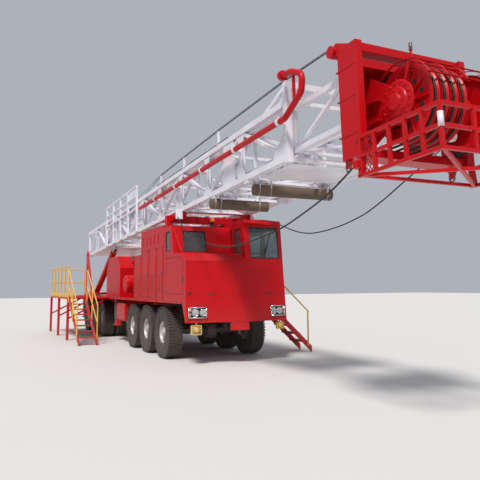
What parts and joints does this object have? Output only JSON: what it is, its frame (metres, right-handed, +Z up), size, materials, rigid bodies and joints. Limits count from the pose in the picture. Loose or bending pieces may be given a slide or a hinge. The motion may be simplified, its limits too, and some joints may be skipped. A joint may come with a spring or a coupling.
{
  "type": "well flushing truck",
  "caption": "Long multi-axle well service truck with an offset cab and a folded telescoping lattice mast over the whole vehicle.",
  "frame": {"origin": "on the ground under the middle of the whole vehicle's box", "axes": "+X forward towards the cab and the crown, +Y to the driver's left, +Z up"},
  "size_m": [21.2424, 5.3, 5.2325],
  "materials": {
    "body_red": "gloss red paint over welded plate",
    "mast_white": "white paint on square tube",
    "rail_yellow": "yellow paint on round tube",
    "frame_black": "black chassis paint",
    "rim_silver": "silver painted steel",
    "tyre": "black rubber with road dust",
    "glass": "tinted glass",
    "lamp_glass": "clear ribbed lamp glass",
    "trim_grey": "dark grey cab trim",
    "cast_iron": "cast engine",
    "drum_steel": "bare worn steel",
    "rod_chrome": "hard chrome",
    "timber": "weathered brown timber",
    "rope": "black greased line"
  },
  "bodies": {
    "root": {"chassis_frame": "frame_black", "axles": "frame_black", "springs": "frame_black", "deck": "body_red", "tanks": "body_red", "front_body": "body_red", "cab_shell": "body_red", "cab_glass": "glass", "cab_interior": "trim_grey", "engine_enclosure": "body_red", "engine_block": "cast_iron", "drawworks_frame": "body_red", "mast_stands": "body_red", "access_stairs": "body_red", "handrails": "rail_yellow", "lamps": "lamp_glass"},
    "knuckle_1_left": {"knuckle_1_left": "frame_black"},
    "front_wheel_1_left": {"front_tyre_1_left": "tyre", "front_rim_1_left": "rim_silver"},
    "knuckle_2_left": {"knuckle_2_left": "frame_black"},
    "front_wheel_2_left": {"front_tyre_2_left": "tyre", "front_rim_2_left": "rim_silver"},
    "knuckle_3_left": {"knuckle_3_left": "frame_black"},
    "front_wheel_3_left": {"front_tyre_3_left": "tyre", "front_rim_3_left": "rim_silver"},
    "rear_wheels_1_left": {"rear_tyres_1_left": "tyre", "rear_rims_1_left": "rim_silver"},
    "rear_wheels_2_left": {"rear_tyres_2_left": "tyre", "rear_rims_2_left": "rim_silver"},
    "rear_wheels_3_left": {"rear_tyres_3_left": "tyre", "rear_rims_3_left": "rim_silver"},
    "knuckle_1_right": {"knuckle_1_right": "frame_black"},
    "front_wheel_1_right": {"front_tyre_1_right": "tyre", "front_rim_1_right": "rim_silver"},
    "knuckle_2_right": {"knuckle_2_right": "frame_black"},
    "front_wheel_2_right": {"front_tyre_2_right": "tyre", "front_rim_2_right": "rim_silver"},
    "knuckle_3_right": {"knuckle_3_right": "frame_black"},
    "front_wheel_3_right": {"front_tyre_3_right": "tyre", "front_rim_3_right": "rim_silver"},
    "rear_wheels_1_right": {"rear_tyres_1_right": "tyre", "rear_rims_1_right": "rim_silver"},
    "rear_wheels_2_right": {"rear_tyres_2_right": "tyre", "rear_rims_2_right": "rim_silver"},
    "rear_wheels_3_right": {"rear_tyres_3_right": "tyre", "rear_rims_3_right": "rim_silver"},
    "cab_door": {"cab_door": "body_red"},
    "drum": {"drawworks_drum": "drum_steel"},
    "jacks": {"jacks": "body_red"},
    "mast": {"mast_lower": "mast_white", "standpipe": "body_red", "monkey_board": "mast_white", "timbers": "timber"},
    "mast_top": {"mast_upper": "mast_white", "crown_frame": "body_red", "guy_line_right": "rope", "guy_line_left": "rope"},
    "sheaves": {"crown_sheaves": "body_red"},
    "barrels": {"cylinder_barrels": "body_red"},
    "rods": {"cylinder_rods": "rod_chrome"}
  },
  "joints": [
    {"name": "steer_1_left", "type": "hinge", "parent": "root", "child": "knuckle_1_left", "pos_m": [1.47884, 0.86, 0.62], "axis": [0, 0, 1], "range_deg": [-30, 30]},
    {"name": "spin_front_1_left", "type": "hinge", "parent": "knuckle_1_left", "child": "front_wheel_1_left", "pos_m": [1.47884, 1.1, 0.62], "axis": [0, 1, 0], "continuous": true},
    {"name": "steer_2_left", "type": "hinge", "parent": "root", "child": "knuckle_2_left", "pos_m": [0.04884, 0.86, 0.62], "axis": [0, 0, 1], "range_deg": [-25.5, 25.5]},
    {"name": "spin_front_2_left", "type": "hinge", "parent": "knuckle_2_left", "child": "front_wheel_2_left", "pos_m": [0.04884, 1.1, 0.62], "axis": [0, 1, 0], "continuous": true},
    {"name": "steer_3_left", "type": "hinge", "parent": "root", "child": "knuckle_3_left", "pos_m": [-1.38116, 0.86, 0.62], "axis": [0, 0, 1], "range_deg": [-20.5, 20.5]},
    {"name": "spin_front_3_left", "type": "hinge", "parent": "knuckle_3_left", "child": "front_wheel_3_left", "pos_m": [-1.38116, 1.1, 0.62], "axis": [0, 1, 0], "continuous": true},
    {"name": "spin_rear_1_left", "type": "hinge", "parent": "root", "child": "rear_wheels_1_left", "pos_m": [-5.64116, 0.8875, 0.62], "axis": [0, 1, 0], "continuous": true},
    {"name": "spin_rear_2_left", "type": "hinge", "parent": "root", "child": "rear_wheels_2_left", "pos_m": [-7.04116, 0.8875, 0.62], "axis": [0, 1, 0], "continuous": true},
    {"name": "spin_rear_3_left", "type": "hinge", "parent": "root", "child": "rear_wheels_3_left", "pos_m": [-8.44116, 0.8875, 0.62], "axis": [0, 1, 0], "continuous": true},
    {"name": "steer_1_right", "type": "hinge", "parent": "root", "child": "knuckle_1_right", "pos_m": [1.47884, -0.86, 0.62], "axis": [0, 0, 1], "range_deg": [-30, 30]},
    {"name": "spin_front_1_right", "type": "hinge", "parent": "knuckle_1_right", "child": "front_wheel_1_right", "pos_m": [1.47884, -1.1, 0.62], "axis": [0, 1, 0], "continuous": true},
    {"name": "steer_2_right", "type": "hinge", "parent": "root", "child": "knuckle_2_right", "pos_m": [0.04884, -0.86, 0.62], "axis": [0, 0, 1], "range_deg": [-25.5, 25.5]},
    {"name": "spin_front_2_right", "type": "hinge", "parent": "knuckle_2_right", "child": "front_wheel_2_right", "pos_m": [0.04884, -1.1, 0.62], "axis": [0, 1, 0], "continuous": true},
    {"name": "steer_3_right", "type": "hinge", "parent": "root", "child": "knuckle_3_right", "pos_m": [-1.38116, -0.86, 0.62], "axis": [0, 0, 1], "range_deg": [-20.5, 20.5]},
    {"name": "spin_front_3_right", "type": "hinge", "parent": "knuckle_3_right", "child": "front_wheel_3_right", "pos_m": [-1.38116, -1.1, 0.62], "axis": [0, 1, 0], "continuous": true},
    {"name": "spin_rear_1_right", "type": "hinge", "parent": "root", "child": "rear_wheels_1_right", "pos_m": [-5.64116, -0.8875, 0.62], "axis": [0, 1, 0], "continuous": true},
    {"name": "spin_rear_2_right", "type": "hinge", "parent": "root", "child": "rear_wheels_2_right", "pos_m": [-7.04116, -0.8875, 0.62], "axis": [0, 1, 0], "continuous": true},
    {"name": "spin_rear_3_right", "type": "hinge", "parent": "root", "child": "rear_wheels_3_right", "pos_m": [-8.44116, -0.8875, 0.62], "axis": [0, 1, 0], "continuous": true},
    {"name": "door_swing", "type": "hinge", "parent": "root", "child": "cab_door", "pos_m": [2.04884, 1.288, 1.8], "axis": [0, 0, -1], "range_deg": [0, 80]},
    {"name": "drum_turn", "type": "hinge", "parent": "root", "child": "drum", "pos_m": [-4.47116, 0, 2.12], "axis": [0, 1, 0], "continuous": true},
    {"name": "jacks_lower", "type": "slide", "parent": "root", "child": "jacks", "axis": [0, 0, -1], "range_m": [0, 0.48]},
    {"name": "mast_raise", "type": "hinge", "parent": "root", "child": "mast", "pos_m": [-10.27327, 0, 3.14496], "axis": [0, -1, 0], "range_deg": [0, 90]},
    {"name": "mast_extend", "type": "slide", "parent": "mast", "child": "mast_top", "axis": [0.9993, 0, 0.0384], "range_m": [0, 13]},
    {"name": "sheaves_turn", "type": "hinge", "parent": "mast_top", "child": "sheaves", "pos_m": [9.53654, 0, 4.05108], "axis": [0, 1, 0], "continuous": true},
    {"name": "cylinder_swing", "type": "hinge", "parent": "root", "child": "barrels", "pos_m": [-9.52116, 0, 1.56], "axis": [0, -1, 0], "range_deg": [0, 72.14]},
    {"name": "cylinder_reach", "type": "slide", "parent": "barrels", "child": "rods", "axis": [0.8979, 0, 0.4402], "range_m": [0, 2.029]}
  ],
  "couplings": [
    {"joint": "steer_2_left", "follows": "steer_1_left", "ratio": 0.84},
    {"joint": "steer_3_left", "follows": "steer_1_left", "ratio": 0.68},
    {"joint": "steer_1_right", "follows": "steer_1_left", "ratio": 1},
    {"joint": "steer_2_right", "follows": "steer_1_left", "ratio": 0.84},
    {"joint": "steer_3_right", "follows": "steer_1_left", "ratio": 0.68},
    {"joint": "cylinder_swing", "follows": "mast_raise", "ratio": 0.79596},
    {"joint": "cylinder_reach", "follows": "mast_raise", "m_per_rad": 1.2853}
  ]
}
